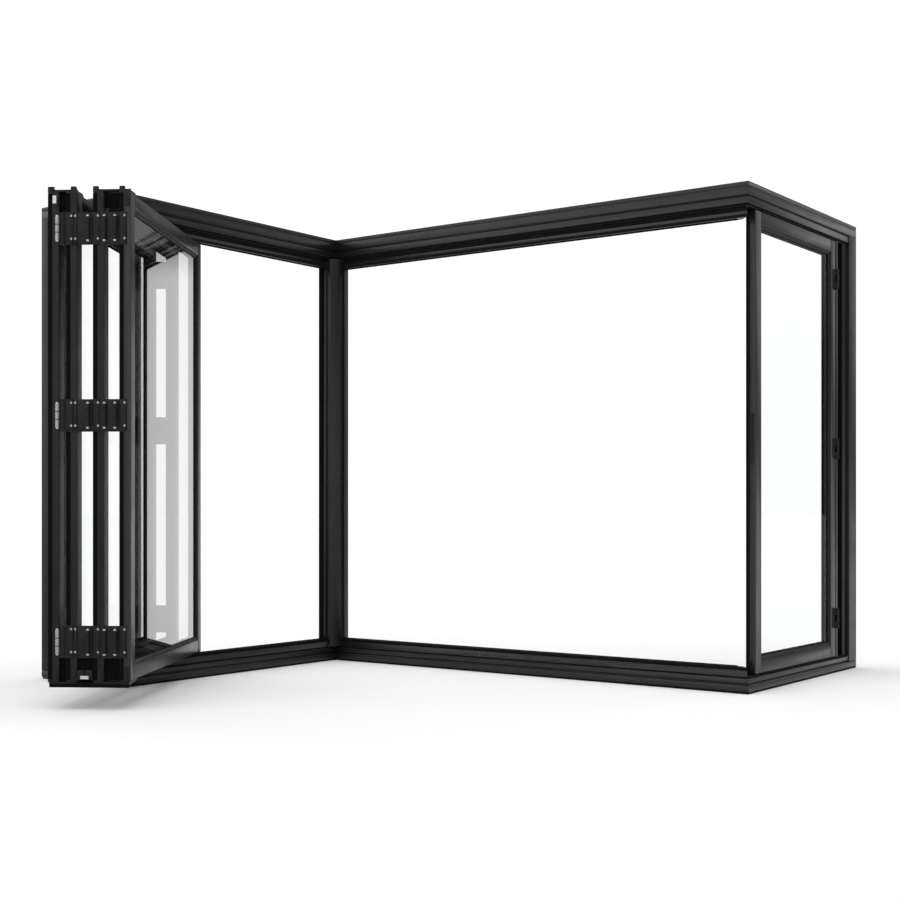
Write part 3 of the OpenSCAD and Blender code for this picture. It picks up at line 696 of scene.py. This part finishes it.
def add_track_brushes():
    """Brush strips on both sides of the slots in the head and sill tracks."""
    pile = 0.0035
    sections = []
    for z0, z1 in ((TRACK_LOW, TRACK_LOW + pile), (TRACK_HIGH - pile, TRACK_HIGH)):
        for side in (-1, 1):
            a, b = side * 0.0050, side * 0.0090
            sections.append([(a, z0), (b, z0), (b, z1), (a, z1)])

    def make(bm):
        for section in sections:
            add_bar(bm, section, -RUN_A + HALF_DEPTH, POST_END_A - POST_RIB, "y")
            add_bar(bm, section, POST_END_B + POST_RIB, RUN_B - HALF_DEPTH, "x")
            add_bar(bm, [(a - RUN_A, z) for a, z in section], LEFT_JAMB_FACE, -HALF_DEPTH, "x")

    new_piece("track_brushes", make, FRAME_AXES, "brush", "frame")


def add_track_shade_strips():
    """Painted shade: black strips in the steps, grooves, necks and flanges of the head and sill, and on the
    post's rib, which darken their shadow lines.
    """
    lap = 0.0005

    def strip(bm, side, centre, row, start, end, axis):
        face, thick, z0, z1 = row
        inner, outer = centre + side * (face - lap), centre + side * (face + thick)
        add_bar(bm, [(inner, z0), (outer, z0), (outer, z1), (inner, z1)], start, end, axis)

    def tracks(bm):
        for row in LONG_SHADE_ROWS + TRACK_SHADE_ROWS:
            face = row[0]
            at_post = row in TRACK_SHADE_ROWS
            for side in (-1, 1):
                end_a = POST_END_A - lap if at_post else -side * face
                start_b = POST_END_B + lap if at_post else -side * face
                strip(bm, side, 0.0, row, -RUN_A - side * face, end_a, "y")
                strip(bm, side, 0.0, row, start_b, RUN_B - side * face, "x")
        for row in LONG_SHADE_ROWS:
            foot = row[2] < 0.02
            strip(bm, 1, RUN_B, row, -row[0], RUN_C_END if foot else RIGHT_JAMB_FACE, "y")

    def rib(bm):
        x0, x1 = POST_END_B + 0.0070, POST_END_B + 0.0145
        y0, y1 = -0.0152, -0.0145
        section = [(x0, y0), (x1, y0), (x1, y1), (x0, y1)]
        add_bar(bm, section, TRACK_LOW + lap, TRACK_HIGH - lap, "z")

    # These strips are painted shade: thin black sheets standing for shadow lines of the head, sill and post
    new_piece("track_shade_strips", tracks, FRAME_AXES, "rubber", "frame")
    new_piece("post_shade_strip", rib, FRAME_AXES, "rubber", "frame")


def ribbed_block(bm, x0, x1, y0, y1, z0, z1):
    """Block of brush pile, with upright ribs on its near face."""
    count = max(4, round((y1 - y0) / 0.004))
    step = (y1 - y0) / count
    near = []
    for i in range(count):
        near += [(x0, y0 + i * step), (x0 + 0.0012, y0 + (i + 0.5) * step)]
    add_bar(bm, [(x1, y1), (x1, y0)] + near + [(x0, y1)], z0, z1, "z")


def add_stack_brushes():
    """Brush blocks between the leaves at the head and foot, and the skirt under the guides."""
    gaps = [(LEAF_T, LEAF_Y["leaf_3"]), (LEAF_Y["leaf_2"] + LEAF_T, LEAF_Y["leaf_1"])]

    def foot(bm):
        for y0, y1 in gaps:
            ribbed_block(bm, 0.012, 0.034, y0, y1, LEAF_LOW + 0.002, 0.222)
        ribbed_block(bm, 0.012, 0.034, LEAF_Y["leaf_3"] + LEAF_T, LEAF_Y["leaf_2"], 0.175, 0.224)

    def top(bm):
        for y0, y1 in gaps:
            ribbed_block(bm, 0.012, 0.034, y0, y1, 2.168, LEAF_HIGH - 0.002)

    def skirt(bm):
        top_z, foot_z = 0.1215, 0.098
        for x in (0.002, 0.090):
            section = [(x - 0.002, top_z), (x + 0.002, top_z), (x + 0.0012, foot_z), (x - 0.0012, foot_z)]
            add_bar(bm, section, 0.008, 0.358, "y")

    new_piece("foot_brushes", foot, STACK_AXES, "brush", "frame")
    new_piece("top_brushes", top, STACK_AXES, "brush", "frame")
    new_piece("guide_skirt", skirt, STACK_AXES, "brush", "frame")


def add_post_flap():
    """Soft flap that closes on the leaves from the post's channel beside run A."""
    x0, x1 = -0.0210, -0.0090
    y0, y1 = -0.1200, -0.0800
    section = [(x0, y1), (x0, y0 + 0.006), (x0 + 0.003, y0), (x0 + 0.006, y0 + 0.003),
               (x1 - 0.003, y0 + 0.001), (x1, y0 + 0.006), (x1, y0 + 0.016), (x1 - 0.002, y0 + 0.019),
               (x1, y0 + 0.022), (x1, y1)]

    def make(bm):
        add_bar(bm, section, TRACK_LOW + 0.0005, TRACK_HIGH - 0.0005, "z")

    new_piece("post_flap", make, FRAME_AXES, "rubber", "frame")


MATERIALS = {
    "frame_coat": powder_coat("frame_coat", 0.005, 0.009, 0.31, 0.34),
    # A darker, less glossy copy of the frame coat: painted shade on the jambs and the three inner leaves
    "shaded_coat": powder_coat("shaded_coat", 0.004, 0.008, 0.36, 0.18),
    "bead_coat": powder_coat("bead_coat", 0.003, 0.006, 0.50, 0.22),
    "fitting_coat": powder_coat("fitting_coat", 0.004, 0.008, 0.38, 0.16),
    "rubber": rubber("rubber", 0.0020, 0.80),
    "brush": rubber("brush", 0.0016, 0.95),
    "bright_steel": steel("bright_steel", 0.36, 0.50, 0.34),
    "dark_steel": steel("dark_steel", 0.22, 0.32, 0.40),
    "front_glass": glass("front_glass", GLASS_SHINE, GLASS_GRAZING),
    "glass": glass("glass", GLASS_SHINE, 0.0),
}

make_camera()
make_studio()
dress_cad()
for leaf in LEAVES:
    add_sealed_unit(*leaf)
    add_gaskets(*leaf)
    add_edge_seals(*leaf)
add_fold_fittings()
add_bracket_fittings()
add_door_fittings()
add_frame_seals()
add_track_brushes()
add_track_shade_strips()
add_stack_brushes()
add_post_flap()
